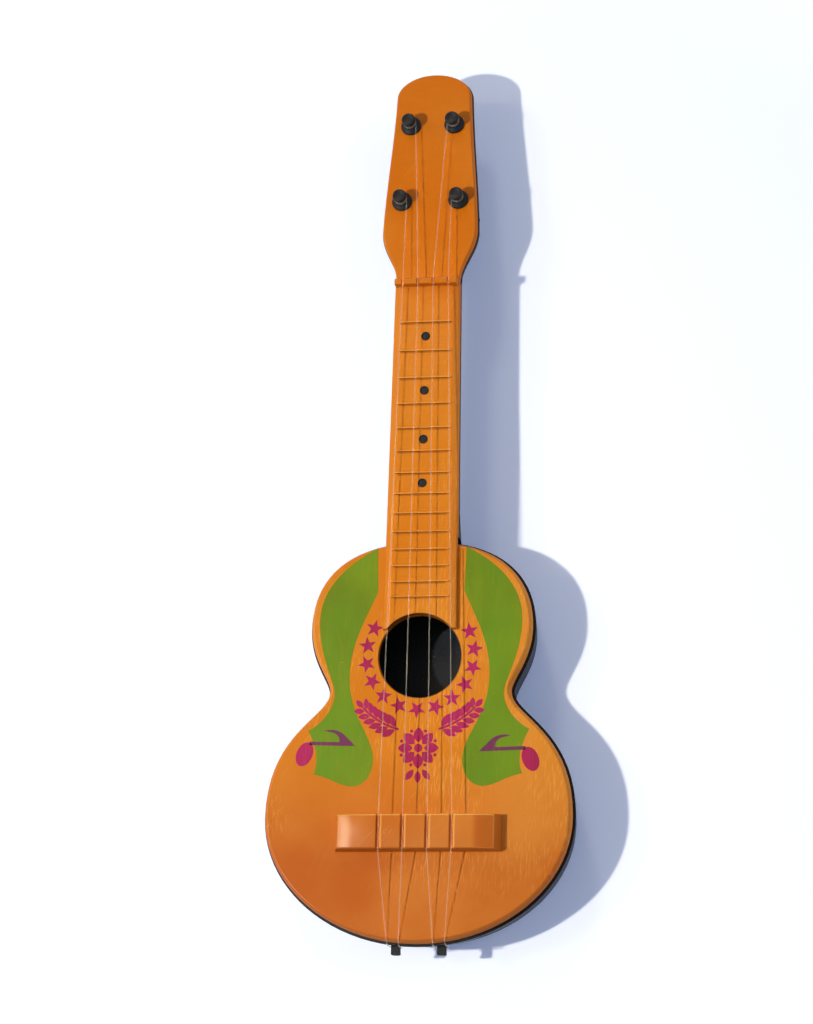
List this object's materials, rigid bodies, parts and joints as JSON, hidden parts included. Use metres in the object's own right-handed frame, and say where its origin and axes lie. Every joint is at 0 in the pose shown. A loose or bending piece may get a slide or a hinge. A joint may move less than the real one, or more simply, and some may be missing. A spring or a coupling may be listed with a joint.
{
  "type": "toy guitar",
  "caption": "Small moulded plastic guitar with a waisted hollow body, fretted neck, bridge, turning tuning pegs and nylon strings looped on tail hooks.",
  "frame": {"origin": "middle of the back face, halfway along the whole guitar", "axes": "+Z out of the front, +Y along the neck to the headstock, +X to the right seen from the front"},
  "size_m": [0.164, 0.4821, 0.0533],
  "materials": {
    "orange_plastic": "satin moulded styrene",
    "black_plastic": "satin moulded styrene",
    "screw_steel": "zinc plated",
    "nylon_line": "clear nylon"
  },
  "bodies": {
    "guitar": {"front_shell": "orange_plastic", "back_shell": "black_plastic", "neck_front": "orange_plastic", "neck_back": "black_plastic", "bridge": "orange_plastic", "fret_marker_2": "black_plastic", "fret_marker_4": "black_plastic", "fret_marker_6": "black_plastic", "fret_marker_8": "black_plastic", "body_screw_1": "screw_steel", "body_screw_2": "screw_steel", "body_screw_3": "screw_steel", "body_screw_4": "screw_steel", "body_screw_5": "screw_steel", "body_screw_6": "screw_steel", "heel_screw_1": "screw_steel", "heel_screw_2": "screw_steel", "head_screw_1": "screw_steel", "head_screw_2": "screw_steel", "head_screw_3": "screw_steel", "string_loop_bass": "nylon_line", "string_loop_treble": "nylon_line"},
    "tuner_bass_low": {"tuner_post_bass_low": "black_plastic", "tuner_knob_bass_low": "black_plastic", "tuner_screw_bass_low": "screw_steel"},
    "tuner_bass_high": {"tuner_post_bass_high": "black_plastic", "tuner_knob_bass_high": "black_plastic", "tuner_screw_bass_high": "screw_steel"},
    "tuner_treble_high": {"tuner_post_treble_high": "black_plastic", "tuner_knob_treble_high": "black_plastic", "tuner_screw_treble_high": "screw_steel"},
    "tuner_treble_low": {"tuner_post_treble_low": "black_plastic", "tuner_knob_treble_low": "black_plastic", "tuner_screw_treble_low": "screw_steel"}
  },
  "joints": [
    {"name": "turn_bass_low", "type": "hinge", "parent": "guitar", "child": "tuner_bass_low", "pos_m": [-0.0155, 0.16522, 0.04208], "axis": [0, 0.0523, 0.9986], "continuous": true},
    {"name": "turn_bass_high", "type": "hinge", "parent": "guitar", "child": "tuner_bass_high", "pos_m": [-0.012, 0.20975, 0.03975], "axis": [0, 0.0523, 0.9986], "continuous": true},
    {"name": "turn_treble_high", "type": "hinge", "parent": "guitar", "child": "tuner_treble_high", "pos_m": [0.012, 0.20975, 0.03975], "axis": [0, 0.0523, 0.9986], "continuous": true},
    {"name": "turn_treble_low", "type": "hinge", "parent": "guitar", "child": "tuner_treble_low", "pos_m": [0.0155, 0.16522, 0.04208], "axis": [0, 0.0523, 0.9986], "continuous": true}
  ]
}
